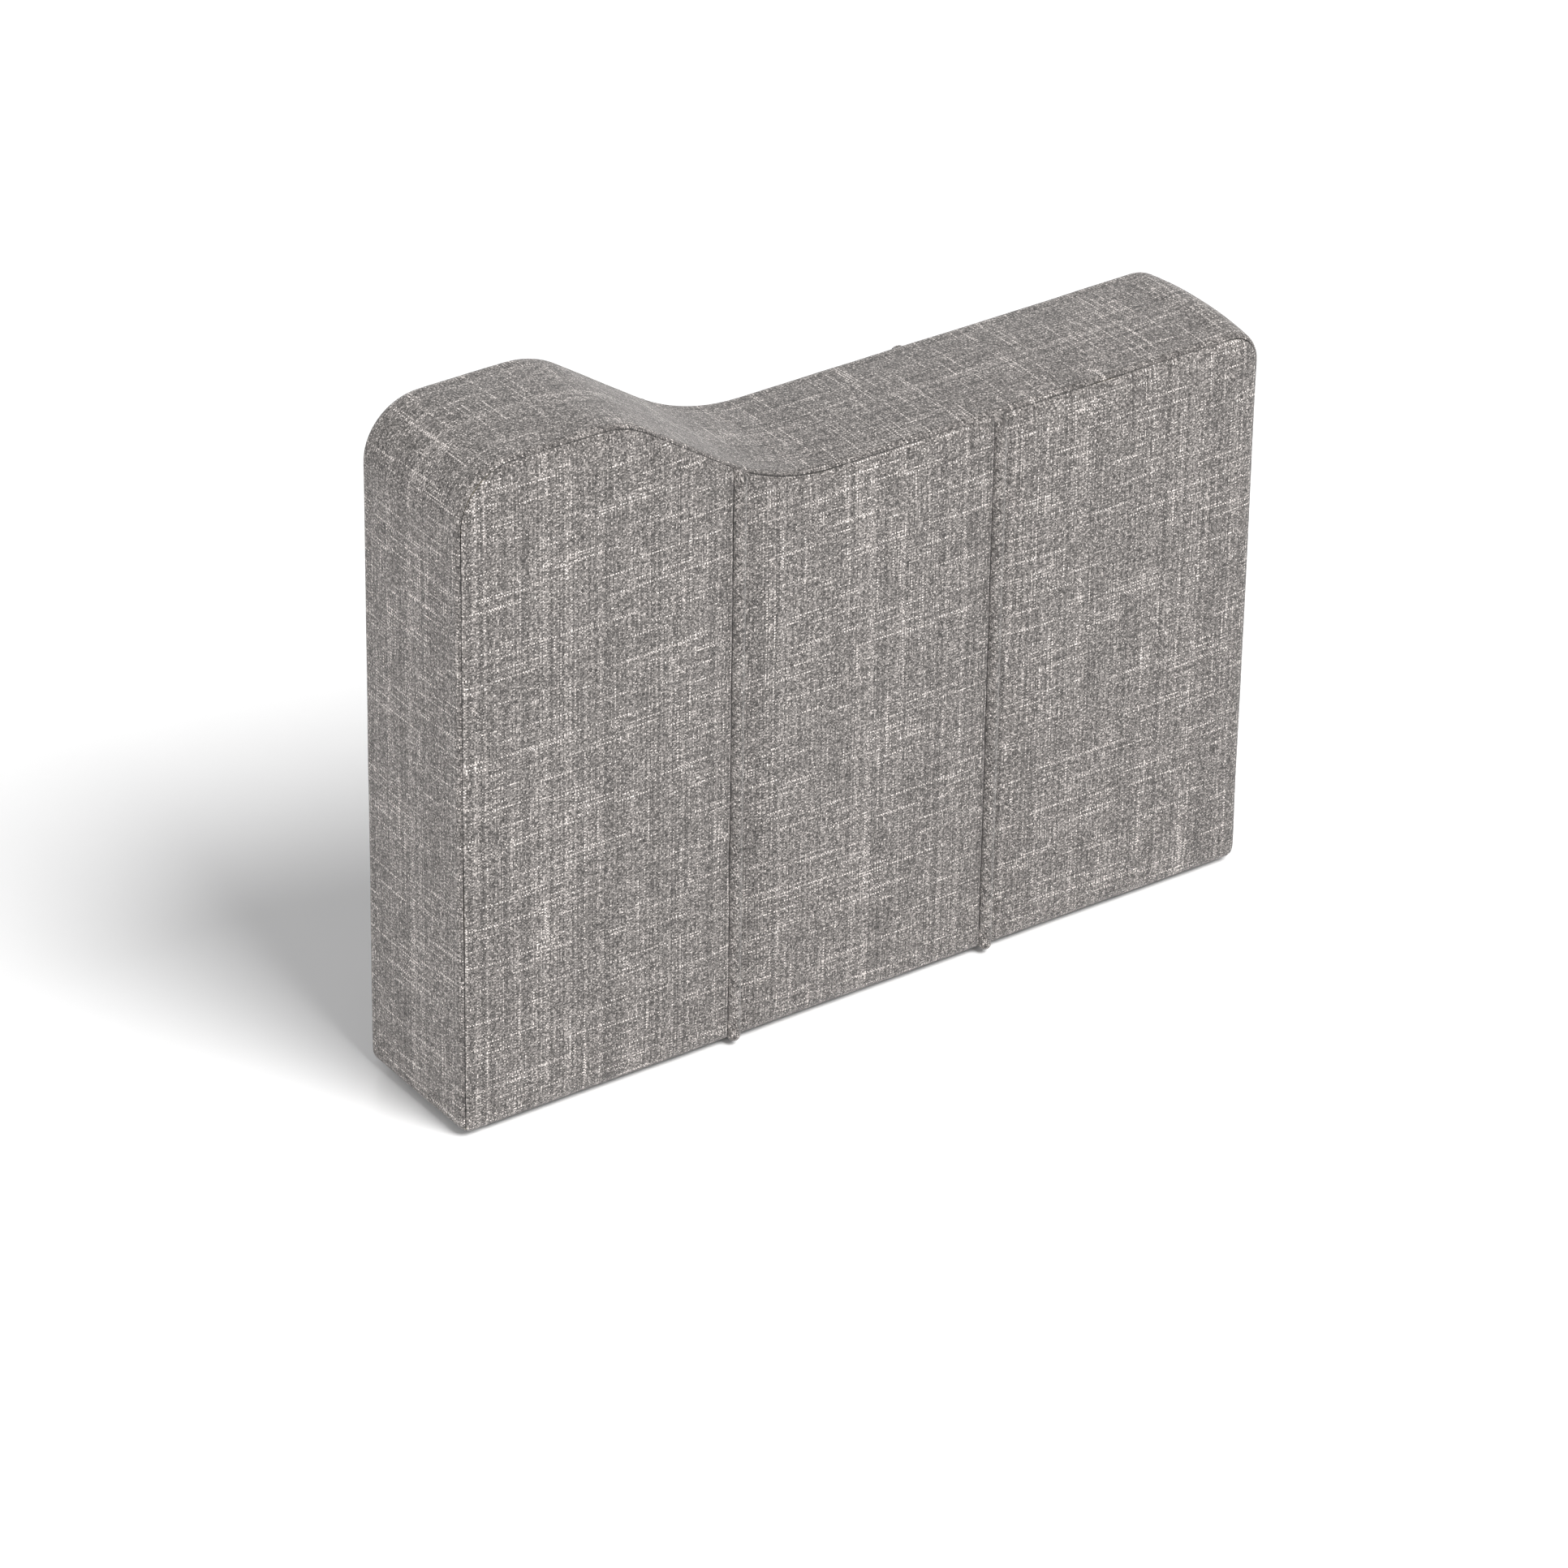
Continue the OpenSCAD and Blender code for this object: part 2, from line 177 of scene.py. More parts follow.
def outline_pieces():
    """The outline as straights and arcs: (length, start point, start angle of the normal, radius).
    The angle is from straight up, towards the low end. The foot's radius is negative."""
    start = Vector((left, underside + edge_r))
    runs = [
        (tall_top - tall_corner_r - start.y, -quarter, 0),
        (quarter * tall_corner_r, -quarter, tall_corner_r),
        (crest_start - tall_corner_r, 0, 0),
        (slope * crest_r, 0, crest_r),
        (slope_run, slope, 0),
        (slope * foot_r, slope, -foot_r),
        (right - low_corner_r - foot_x, 0, 0),
        (quarter * low_corner_r, 0, low_corner_r),
        (low_top - low_corner_r - start.y, quarter, 0),
    ]
    pieces = []
    for length, angle, radius in runs:
        pieces.append((length, start.copy(), angle, radius))
        if radius:
            turned = angle + length / radius
            centre = start - radius * Vector((math.sin(angle), math.cos(angle)))
            start = centre + radius * Vector((math.sin(turned), math.cos(turned)))
        else:
            start = start + length * Vector((math.cos(angle), -math.sin(angle)))
    return pieces


pieces = outline_pieces()
outline_len = sum(p[0] for p in pieces)


def outline_at(s):
    """Points (x, z) and outward normals of the outline at distances s along it."""
    s = np.atleast_1d(np.asarray(s, float))
    point, normal = np.zeros((len(s), 2)), np.zeros((len(s), 2))
    before = 0.0
    for number, (length, start, angle, radius) in enumerate(pieces):
        last = number == len(pieces) - 1
        here = (s >= before - 1e-12) & ((s < before + length) | last)
        along = s[here] - before
        turned = angle + (along / radius if radius else 0 * along)
        normal[here] = np.stack([np.sin(turned), np.cos(turned)], 1)
        if radius:
            centre = np.array(start) - radius * np.array([math.sin(angle), math.cos(angle)])
            point[here] = centre + radius * normal[here]
        else:
            point[here] = np.array(start) + along[:, None] * [math.cos(angle), -math.sin(angle)]
        before += length
    return point, normal


tall_corner_s = pieces[0][0] + pieces[1][0] / 2
low_corner_s = outline_len - pieces[8][0] - pieces[7][0] / 2
probe = np.linspace(pieces[0][0], outline_len - pieces[8][0], 4000)


def s_above(x, inset):
    """The distance along the outline of the spot whose inward offset by inset stands over x."""
    point, normal = outline_at(probe)
    return float(np.interp(x, (point - inset * normal)[:, 0], probe))


# ---- Foam ---------------------------------------------------------------------
# Cut slabs of open-cell foam, glued to the skins and round the edge board. Their
# outer edges are trimmed round, so that the cover turns over them softly.

foam_finish, tree, shader = new_finish("upholstery_foam", Roughness=0.95, Sheen_Weight=0.2)
place = object_place(tree)
cells = shader_node(tree, "ShaderNodeTexVoronoi", Vector=place, Scale=900.0, feature="DISTANCE_TO_EDGE")
shade = shader_node(tree, "ShaderNodeTexNoise", Vector=place, Scale=12.0, Detail=3.0)
tone = math_node(tree, "MULTIPLY_ADD", shade.outputs[0], 0.5, cells.outputs[0])
shade_by(tree, shader, "Base Color", tone, [(0.1, (0.62, 0.52, 0.30)), (0.6, (0.86, 0.79, 0.58))])
roughen(tree, shader, cells.outputs[0], 0.6, 0.0006)


def single_out(piece):
    """Leaves only this piece selected, and active."""
    bpy.ops.object.select_all(action="DESELECT")
    bpy.context.view_layer.objects.active = piece
    piece.select_set(True)

def copy_of_solid(node, name):
    """The CAD solid's mesh as a new piece, its loose triangles joined into clean faces."""
    bpy.ops.object.select_all(action="DESELECT")
    piece = nodes[node].copy()
    piece.data = nodes[node].data.copy()
    piece.name = piece.data.name = name
    piece.parent = None
    for key in list(piece.keys()):
        del piece[key]
    bpy.context.scene.collection.objects.link(piece)
    piece.hide_render = piece.hide_viewport = False
    bpy.context.view_layer.objects.active = piece
    piece.select_set(True)
    bpy.ops.object.mode_set(mode="EDIT")
    bpy.ops.mesh.select_all(action="SELECT")
    bpy.ops.mesh.remove_doubles(threshold=0.00001)
    bpy.ops.mesh.dissolve_limited(angle_limit=math.radians(0.5))
    bpy.ops.object.mode_set(mode="OBJECT")
    return piece


def round_edges(piece, chosen, width, steps):
    """Bevels the edges that chosen picks, from their two ends."""
    single_out(piece)
    bpy.ops.object.mode_set(mode="EDIT")
    bpy.ops.mesh.select_mode(type="EDGE")
    bpy.ops.mesh.select_all(action="DESELECT")
    mesh = bmesh.from_edit_mesh(piece.data)
    for edge in mesh.edges:
        if chosen(*(v.co for v in edge.verts)):
            edge.select_set(True)
    bmesh.update_edit_mesh(piece.data)
    bpy.ops.mesh.bevel(offset=width, segments=steps, clamp_overlap=True)
    bpy.ops.object.mode_set(mode="OBJECT")
    piece.data.shade_smooth()
    piece.select_set(True)
    bpy.ops.object.shade_smooth_by_angle(angle=math.radians(40))


def piece_from_grid(name):
    mesh = bpy.data.meshes.new(name)
    piece = bpy.data.objects.new(name, mesh)
    bpy.context.scene.collection.objects.link(piece)
    return piece


foam_gap = 0.0016
channel_r = 0.0088


def foam_slab(name, inner_y):
    """A slab of foam inside the front cover: rings of points from its glued side to its round edge."""
    mesh = bmesh.new()
    turn = np.linspace(quarter, 0, 7)
    s = np.linspace(0, outline_len, 300)
    point, normal = outline_at(s)
    for centre_x, out in ((left + edge_r, -1), (right - edge_r, 1)):
        facing = np.column_stack([out * np.cos(turn), -np.sin(turn)])
        corner = np.array([centre_x, underside + edge_r]) + edge_r * facing
        if out < 0:
            point = np.concatenate([corner, point[1:]])
            normal = np.concatenate([facing, normal[1:]])
        else:
            point = np.concatenate([point, corner[-2::-1]])
            normal = np.concatenate([normal, facing[-2::-1]])
    rings = [(foam_gap, inner_y)]
    for angle, depth in zip(np.radians([90, 75, 60, 54, 50, 40, 36, 30, 15, 0]),
                            foam_gap + np.array([0, 0, 0, 0, 0.0045, 0.0045, 0, 0, 0, 0])):
        radius = edge_r - depth
        rings.append((edge_r - radius * math.sin(angle), front + edge_r - radius * math.cos(angle)))
    rows = []
    for inset, y in rings:
        rows.append([mesh.verts.new((x, y, z)) for x, z in point - inset * normal])
    count = len(rows[0])
    for low, high in zip(rows, rows[1:]):
        for i in range(count):
            after = (i + 1) % count
            mesh.faces.new((low[i], low[after], high[after], high[i]))
    mesh.faces.new(rows[0])
    mesh.faces.new(rows[-1])
    bmesh.ops.remove_doubles(mesh, verts=mesh.verts, dist=0.00003)
    bmesh.ops.recalc_face_normals(mesh, faces=mesh.faces)
    piece = piece_from_grid(name)
    mesh.to_mesh(piece.data)
    mesh.free()
    return piece


def cut_with(piece, cutter):
    """Takes the cutter's shape out of the piece and throws the cutter away."""
    single_out(piece)
    cut = piece.modifiers.new("cut", "BOOLEAN")
    cut.object = cutter
    cut.solver = "EXACT"
    bpy.ops.object.modifier_apply(modifier="cut")
    bpy.data.objects.remove(cutter)


def mirrored(piece, name):
    """A copy of a front piece for the back face."""
    made = piece.copy()
    made.data = piece.data.copy()
    made.name = made.data.name = name
    bpy.context.scene.collection.objects.link(made)
    made.data.transform(Matrix.Scale(-1, 4, (0, 1, 0)))
    made.data.flip_normals()
    return made

foam = foam_slab("front_foam_slab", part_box("front_foam")[1].y)
for name in ("front_piping_cover_1", "front_piping_cover_2"):
    low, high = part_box(name)
    bpy.ops.object.select_all(action="DESELECT")
    bpy.ops.mesh.primitive_cylinder_add(vertices=24, radius=channel_r, depth=1.2,
                                        location=((low.x + high.x) / 2, front, 0.4))
    cut_with(foam, bpy.context.object)
foam.data.shade_smooth()
single_out(foam)
bpy.ops.object.shade_smooth_by_angle(angle=math.radians(40))
back = mirrored(foam, "back_foam_slab")
for piece, name in ((foam, "front_foam"), (back, "back_foam")):
    give_finish(piece, foam_finish)
    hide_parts(name)
    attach(piece, "panel")

foam = copy_of_solid("edge_foam", "edge_foam_strip")
foam_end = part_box("edge_foam")[1].x
round_edges(foam, lambda a, b: abs(a.z - b.z) < 1e-5 and abs(a.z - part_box("edge_foam")[0].z) < 1e-5
            and abs(abs(a.x) - foam_end) < 1e-4 and abs(abs(b.x) - foam_end) < 1e-4, 0.0104, 6)
give_finish(foam, foam_finish)
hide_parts("edge_foam")
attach(foam, "panel")


# ---- Cover fabric ---------------------------------------------------------------
# A warm grey linen-like melange: plain weave of 1.6 mm yarns, most of them of their own
# tone, with long pale slubs along the weft, fewer along the warp, and dark flecks. The round
# of each yarn is painted into the colour as shade: lighter on its crown and on raised slubs,
# darker at its edges and where it dips under the other yarn.

weave = bpy.data.node_groups.new("melange_weave", "ShaderNodeTree")
weave.interface.new_socket(name="Cloth", in_out="INPUT", socket_type="NodeSocketVector")
for name in ("Yarn", "Weft Slubs", "Warp Slubs", "Flecks", "Clouds"):
    weave.interface.new_socket(name=name, in_out="INPUT", socket_type="NodeSocketFloat")
for name in ("Tone", "Relief"):
    weave.interface.new_socket(name=name, in_out="OUTPUT", socket_type="NodeSocketFloat")
given = weave.nodes.new("NodeGroupInput").outputs
put_out = weave.nodes.new("NodeGroupOutput").inputs

flat_place = shader_node(weave, "ShaderNodeSeparateXYZ", i0=given["Cloth"]).outputs
wander = shader_node(weave, "ShaderNodeTexNoise", noise_dimensions="2D", Vector=given["Cloth"], Scale=9.0)
drift = shader_node(weave, "ShaderNodeSeparateColor", i0=wander.outputs[1]).outputs
u = math_node(weave, "MULTIPLY_ADD", drift[0], 0.002, flat_place[0])
v = math_node(weave, "MULTIPLY_ADD", drift[1], 0.002, flat_place[1])
across = math_node(weave, "DIVIDE", u, given["Yarn"])
up = math_node(weave, "DIVIDE", v, given["Yarn"])
warp_no, weft_no = math_node(weave, "FLOOR", across), math_node(weave, "FLOOR", up)
in_warp = math_node(weave, "SUBTRACT", math_node(weave, "FRACT", across), 0.5)
in_weft = math_node(weave, "SUBTRACT", math_node(weave, "FRACT", up), 0.5)
weft_over = math_node(weave, "FLOORED_MODULO", math_node(weave, "ADD", warp_no, weft_no), 2.0)
weft_over = math_node(weave, "GREATER_THAN", weft_over, 0.5)


def along_yarn(along, stretch, yarn_no, offset, detail=1.0):
    """Noise that runs along one yarn and starts afresh on the next."""
    start = shader_node(weave, "ShaderNodeTexWhiteNoise", noise_dimensions="1D",
                        W=math_node(weave, "ADD", yarn_no, offset)).outputs[0]
    run = math_node(weave, "MULTIPLY", along, stretch)
    spot = shader_node(weave, "ShaderNodeCombineXYZ",
                       i0=math_node(weave, "MULTIPLY_ADD", start, 40.0, run),
                       i1=math_node(weave, "MULTIPLY_ADD", yarn_no, 7.31, offset))
    made = shader_node(weave, "ShaderNodeTexNoise", noise_dimensions="2D", Vector=spot.outputs[0],
                       Scale=1.0, Detail=detail)
    return made.outputs[0]


def rise(value, low, high):
    """0 below low, 1 above high, and smooth between them."""
    return shader_node(weave, "ShaderNodeMapRange", interpolation_type="SMOOTHSTEP", i0=value,
                       i1=low, i2=high).outputs[0]


def pick(mask, when_on, when_off):
    made = shader_node(weave, "ShaderNodeMix", data_type="FLOAT", i0=mask, i2=when_off, i3=when_on)
    return made.outputs[0]


weft_slub = rise(along_yarn(u, 8.0, weft_no, 3.0), 0.63, 0.72)
warp_slub = rise(along_yarn(v, 7.5, warp_no, 91.0), 0.66, 0.74)
weft_tone = shader_node(weave, "ShaderNodeTexWhiteNoise", noise_dimensions="1D", W=weft_no).outputs[0]
warp_tone = shader_node(weave, "ShaderNodeTexWhiteNoise", noise_dimensions="1D",
                        W=math_node(weave, "ADD", warp_no, 0.37)).outputs[0]
weft_melange = along_yarn(u, 560.0, weft_no, 17.0, 2.0)
warp_melange = along_yarn(v, 560.0, warp_no, 53.0, 2.0)
cell = shader_node(weave, "ShaderNodeCombineXYZ", i0=warp_no, i1=weft_no)
cell_tone = shader_node(weave, "ShaderNodeTexWhiteNoise", noise_dimensions="2D",
                        Vector=cell.outputs[0]).outputs[0]


def yarn_light(tone, tone_share, melange, slub, slub_light):
    """How light a yarn is where it shows: its own tone, its melange, and its slub."""
    made = math_node(weave, "MULTIPLY_ADD", tone, tone_share, math_node(weave, "MULTIPLY", melange, 1.15))
    return math_node(weave, "MULTIPLY_ADD", slub, slub_light, made)


weft_light = yarn_light(weft_tone, 0.08, weft_melange, weft_slub, given["Weft Slubs"])
warp_light = yarn_light(warp_tone, 0.36, warp_melange, warp_slub, given["Warp Slubs"])
light = pick(weft_over, weft_light, math_node(weave, "SUBTRACT", warp_light, 0.16))
light = math_node(weave, "MULTIPLY_ADD", cell_tone, 0.42, math_node(weave, "SUBTRACT", light, 0.43))

cloud = shader_node(weave, "ShaderNodeTexNoise", noise_dimensions="2D", Vector=given["Cloth"],
                    Scale=26.0, Detail=3.0).outputs[0]
light = math_node(weave, "MULTIPLY_ADD", math_node(weave, "SUBTRACT", cloud, 0.5), given["Clouds"], light)
fleck = shader_node(weave, "ShaderNodeTexVoronoi", voronoi_dimensions="2D", Vector=given["Cloth"],
                    Scale=70.0)
fleck_here = math_node(weave, "LESS_THAN", fleck.outputs[0], 0.13)
fleck_kind = shader_node(weave, "ShaderNodeSeparateColor", i0=fleck.outputs[1]).outputs[0]
fleck_here = math_node(weave, "MULTIPLY", fleck_here, math_node(weave, "LESS_THAN", fleck_kind, 0.32))
light = math_node(weave, "SUBTRACT", light, math_node(weave, "MULTIPLY", fleck_here, given["Flecks"]))


def hump(place, width):
    """The round of a yarn across its width, or its dip along its length."""
    return math_node(weave, "COSINE", math_node(weave, "MULTIPLY", place, width))

# Each yarn is a ridge that dips where the other passes over it
weft_ridge = math_node(weave, "MULTIPLY", hump(in_weft, 2.7), hump(in_warp, 2.2))
warp_ridge = math_node(weave, "MULTIPLY", hump(in_warp, 2.7), hump(in_weft, 2.2))
ridge = pick(weft_over, math_node(weave, "MULTIPLY_ADD", weft_slub, 0.5, weft_ridge),
             math_node(weave, "MULTIPLY_ADD", warp_slub, 0.3, warp_ridge))
fibre = shader_node(weave, "ShaderNodeTexNoise", noise_dimensions="2D", Vector=given["Cloth"],
                    Scale=2200.0, Detail=2.0).outputs[0]
ridge = math_node(weave, "MULTIPLY_ADD", fibre, 0.35, ridge)
# Painted shade: the yarn's round and its slubs go into the colour, darker at yarn edges and dips and
# lighter on crowns; the fibre noise in it is random tone
shade = math_node(weave, "MULTIPLY_ADD", ridge, 0.22, math_node(weave, "SUBTRACT", light, 0.19))
weave.links.new(shade, put_out["Tone"])
weave.links.new(ridge, put_out["Relief"])


def cover_cloth(name, bias=0.0, slubs=0.25):
    """The cover fabric on a piece whose UV map is its cloth laid flat, in metres."""
    material, tree, shader = new_finish(name, Roughness=0.88, Sheen_Weight=0.25, Sheen_Roughness=0.45,
                                        Specular_IOR_Level=0.25)
    flat = shader_node(tree, "ShaderNodeUVMap", uv_map="cloth").outputs[0]
    if bias:
        flat = shader_node(tree, "ShaderNodeMapping", Vector=flat, Rotation=(0, 0, bias)).outputs[0]
    woven = tree.nodes.new("ShaderNodeGroup")
    woven.node_tree = weave
    tree.links.new(flat, woven.inputs["Cloth"])
    for socket, value in (("Yarn", 0.0016), ("Weft Slubs", slubs), ("Warp Slubs", 0.7 * slubs),
                          ("Flecks", 0.16), ("Clouds", 0.10)):
        woven.inputs[socket].default_value = value
    greys = ((0.0, 0.032), (0.2, 0.067), (0.4, 0.136), (0.6, 0.276), (0.8, 0.53), (0.95, 0.78))
    warm = (1.078, 1.0, 0.954)
    stops = [(place, tuple(grey * c for c in warm)) for place, grey in greys]
    # The weave's Tone carries its painted yarn shade into the base colour, along with the yarns' own tones
    shade_by(tree, shader, "Base Color", woven.outputs["Tone"], stops)
    roughen(tree, shader, woven.outputs["Relief"], 0.55, 0.0005)
    return material


panel_cloth = cover_cloth("cover_fabric_panels")


# ---- Front and back covers --------------------------------------------------------
# Three pieces of cover on each face, sewn together at the two piped seams and sewn to
# the border in the middle of the rounded edge. Below they turn under the base.

cloth_t = 0.0011
seam_1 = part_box("front_piping_cover_1")
seam_2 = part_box("front_piping_cover_2")
seam_1 = (seam_1[0].x + seam_1[1].x) / 2
seam_2 = (seam_2[0].x + seam_2[1].x) / 2
hem = 0.040
floor_z = underside + edge_r

# How the cloth dives into a seam: (distance from the seam along the cloth, depth)
tuck = [(0.00008, 0.0042), (0.00010, 0.0024), (0.00024, 0.0011), (0.00060, 0.00048), (0.0013, 0.00018),
        (0.0024, 0.00004), (0.0040, 0.0), (0.0066, 0.0), (edge_r * quarter / 2, 0.0)]
# The same beside the piping: (distance from the middle of the seam, depth)
piping_side = [(0.0150, 0.0), (0.0120, 0.00005), (0.0100, 0.00018), (0.0088, 0.0004), (0.0080, 0.0007),
               (0.0074, 0.0011), (0.0070, 0.0018), (0.0066, 0.0026), (0.0060, 0.0036), (0.0052, 0.0047)]
under_turns = [0.0, 0.25, 0.5, 0.75, 1.0]
hem_steps = [0.25, 0.5, 0.75, 1.0]
# What is left of a piped seam's gap and dip under the base
shut_gap = 0.00004
shut_dip = 0.0003


def rim_point(s, angle, depth):
    """A point of the rounded edge: angle is from facing front (0) to facing outwards (90 degrees)."""
    inset = edge_r - (edge_r - depth) * np.sin(angle)
    point, normal = outline_at(s)
    spot = point - inset[:, None] * normal
    return np.stack([spot[:, 0], front + edge_r - (edge_r - depth) * np.cos(angle), spot[:, 1]], 1)


def row_of(points, cloth_u, cloth_v, held):
    """One row of a grid: places, places on the flat cloth, and how firmly it is held."""
    ones = np.ones(len(points))
    return np.column_stack([points, cloth_u * ones, cloth_v * ones, held * ones])


def cover_mesh(name, grids):
    """Sews grids of rows into one mesh, facing outwards, with its cloth laid flat in the UV map."""
    mesh = bmesh.new()
    cloth = mesh.loops.layers.uv.new("cloth")
    firm = mesh.verts.layers.deform.verify()
    for grid in grids:
        grid = np.asarray(grid)
        verts = [[mesh.verts.new(cell[:3]) for cell in row] for row in grid]
        for i in range(len(grid) - 1):
            for j in range(grid.shape[1] - 1):
                corners = ((i, j), (i, j + 1), (i + 1, j + 1), (i + 1, j))
                face = mesh.faces.new([verts[a][b] for a, b in corners])
                for loop, (a, b) in zip(face.loops, corners):
                    loop[cloth].uv = grid[a, b, 3:5]
        for row, places in zip(verts, grid):
            for vert, place in zip(row, places):
                vert[firm][0] = place[5]
    bmesh.ops.remove_doubles(mesh, verts=mesh.verts, dist=0.00003)
    bmesh.ops.recalc_face_normals(mesh, faces=mesh.faces)
    inside = Vector((0, 0, low_top / 2))
    facing = sum(f.calc_area() * f.normal.dot(f.calc_center_median() - inside) for f in mesh.faces)
    if facing < 0:
        bmesh.ops.reverse_faces(mesh, faces=mesh.faces)
    piece = piece_from_grid(name)
    mesh.to_mesh(piece.data)
    mesh.free()
    piece.vertex_groups.new(name="held")
    piece.data.shade_smooth()
    return piece


def relaxed(patch):
    """A patch whose inner points are evened out between its fixed edges."""
    for _ in range(2500):
        patch[1:-1, 1:-1] = (patch[:-2, 1:-1] + patch[2:, 1:-1] + patch[1:-1, :-2] + patch[1:-1, 2:]) / 4
    return patch


def coons(low, high, start, end):
    """A patch of (x, z) points between four edges: rows from low to high, columns from start to end."""
    a = np.linspace(0, 1, len(low))[None, :, None]
    b = np.linspace(0, 1, len(start))[:, None, None]
    corners = (1 - a) * (1 - b) * low[0] + a * (1 - b) * low[-1] + (1 - a) * b * high[0] + a * b * high[-1]
    return (1 - b) * low[None] + b * high[None] + (1 - a) * start[:, None] + a * end[:, None] - corners


def inner_at(s):
    """Points of the outline set in by the edge's radius, where the flat face begins."""
    point, normal = outline_at(s)
    return point - edge_r * normal

def face_cover(name, near, far):
    """One front cover between two piped seams, or between a seam and an end of the panel (None)."""
    pitch = 0.0072
    piped = [seam for seam in (near, far) if seam is not None]
    first_s = tall_corner_s if near is None else s_above(near + piping_side[0][0], edge_r)
    last_s = low_corner_s if far is None else s_above(far - piping_side[0][0], edge_r)
    top_s = np.linspace(first_s, last_s, int((last_s - first_s) / pitch) + 1)
    top = inner_at(top_s)
    if near is None:
        side_s = np.linspace(0, first_s, int(first_s / pitch) + 1)
        start = inner_at(side_s)
        rows = len(start)
    if far is None:
        end_s = np.linspace(last_s, outline_len, int((outline_len - last_s) / pitch) + 1)
        end = inner_at(end_s)[::-1]
        rows = len(end)
    if near is not None and far is not None:
        rows = int((low_top - underside) / pitch)
    if near is not None:
        start = np.column_stack([np.full(rows, top[0, 0]), np.linspace(floor_z, top[0, 1], rows)])
    if far is not None:
        end = np.column_stack([np.full(rows, top[-1, 0]), np.linspace(floor_z, top[-1, 1], rows)])
    low = np.column_stack([np.linspace(start[0, 0], end[0, 0], len(top)), np.full(len(top), floor_z)])
    body = relaxed(coons(low, top, start, end))

    # The columns beside a piped seam, added at either side of the body
    flats, depths, seams = [body], [np.zeros(len(top))], [np.full(len(top), np.nan)]
    for seam, edge, sign in ((near, start, 1), (far, end, -1)):
        if seam is None:
            continue
        steps = piping_side[1:]
        extra = np.zeros((rows, len(steps), 2))
        for k, (away, depth) in enumerate(steps):
            x = seam + sign * away
            z_top = float(inner_at(s_above(x, edge_r))[0, 1])
            extra[:, k] = np.column_stack([np.full(rows, x), np.linspace(floor_z, z_top, rows)])
        deep = np.array([depth for _, depth in steps])
        where = np.array([seam + sign * away for away, _ in steps])
        if sign > 0:
            flats.insert(0, extra[:, ::-1])
            depths.insert(0, deep[::-1])
            seams.insert(0, where[::-1])
        else:
            flats.append(extra)
            depths.append(deep)
            seams.append(where)
    flat = np.concatenate(flats, 1)
    column_depth = np.concatenate(depths)
    fixed_x = np.concatenate(seams)
    columns = flat.shape[1]

    def held_at(x, z):
        away = [z - floor_z]
        away += [abs(x - seam) - piping_side[0][0] for seam in piped]
        return 1.0 if min(away) < 0.001 else 0.0

    grids = []
    grid = np.zeros((rows, columns, 6))
    grid[:, :, 0], grid[:, :, 2] = flat[:, :, 0], flat[:, :, 1]
    grid[:, :, 1] = front + column_depth[None]
    grid[:, :, 3], grid[:, :, 4] = flat[:, :, 0], flat[:, :, 1]
    grid[:, :, 5] = np.vectorize(held_at)(flat[:, :, 0], flat[:, :, 1])
    grid[-1, :, 5] = 1
    if near is None:
        grid[:, 0, 5] = 1
    if far is None:
        grid[:, -1, 5] = 1
    grids.append(grid)

    # The rounded edge, from the flat face out to the seam with the border
    rim_s = np.concatenate([side_s[:-1] if near is None else [], top_s, end_s[1:] if far is None else []])
    before = int(np.sum(~np.isnan(fixed_x[:columns // 2])))
    after = int(np.sum(~np.isnan(fixed_x[columns // 2:])))
    plain = len(rim_s)
    rim_depth = np.concatenate([column_depth[:before], np.zeros(plain), column_depth[columns - after:]])
    rim_x = np.concatenate([fixed_x[:before], np.full(plain, np.nan), fixed_x[columns - after:]])
    rim_s = np.concatenate([np.zeros(before), rim_s, np.zeros(after)])
    base = inner_at(rim_s)
    # How strictly each column of the rim stays upright: fully beside the piping, less further off
    upright = np.ones(len(rim_s))
    for k, x in enumerate(rim_x):
        if np.isnan(x):
            nearest = [1 - (abs(base[k, 0] - seam) - piping_side[0][0]) / 0.05
                       for seam in piped if base[k, 1] > low_top / 2]
            upright[k] = min(1.0, max([0.0] + nearest))
        else:
            base[k] = inner_at(s_above(x, edge_r))[0]
    rim = []
    for away, depth in tuck[::-1]:
        angle = quarter / 2 - away / edge_r
        row_s = rim_s.copy()
        deep = np.maximum(rim_depth, depth)
        inset = edge_r - (edge_r - deep) * math.sin(angle)
        for k in np.nonzero(upright)[0]:
            row_s[k] = (1 - upright[k]) * rim_s[k] + upright[k] * s_above(base[k, 0], inset[k])
        points = rim_point(row_s, np.full(len(row_s), angle), deep)
        _, normal = outline_at(row_s)
        laid = base + edge_r * angle * normal
        rim.append(row_of(points, laid[:, 0], laid[:, 1], 1.0))
    grids.append(rim)

    # The rounded bottom and the hem turned under the base
    first_away, lip_away = piping_side[0][0], piping_side[-1][0]

    def closed_up(x, turn):
        """Beside a piped seam the cloth closes up behind the piping's lower end, as it turns under."""
        x = x.copy()
        gap = lip_away + (shut_gap - lip_away) * min(1, turn / 0.5) ** 1.5
        for seam in piped:
            beside = np.abs(x - seam) < first_away - 1e-6
            drawn = (first_away - np.abs(x[beside] - seam)) * (first_away - gap)
            x[beside] = seam + np.sign(x[beside] - seam) * (first_away - drawn / (first_away - lip_away))
        return x

    def shallower(x, depth, turn):
        """The dip beside a piped seam fades out under the panel, where the piping has ended."""
        depth = depth.copy()
        for seam in piped:
            beside = np.abs(x - seam) < first_away - 1e-6
            shallow = np.minimum(depth[beside], shut_dip)
            depth[beside] = shallow + (depth[beside] - shallow) * (1 - min(1, turn / 0.75))
        return depth

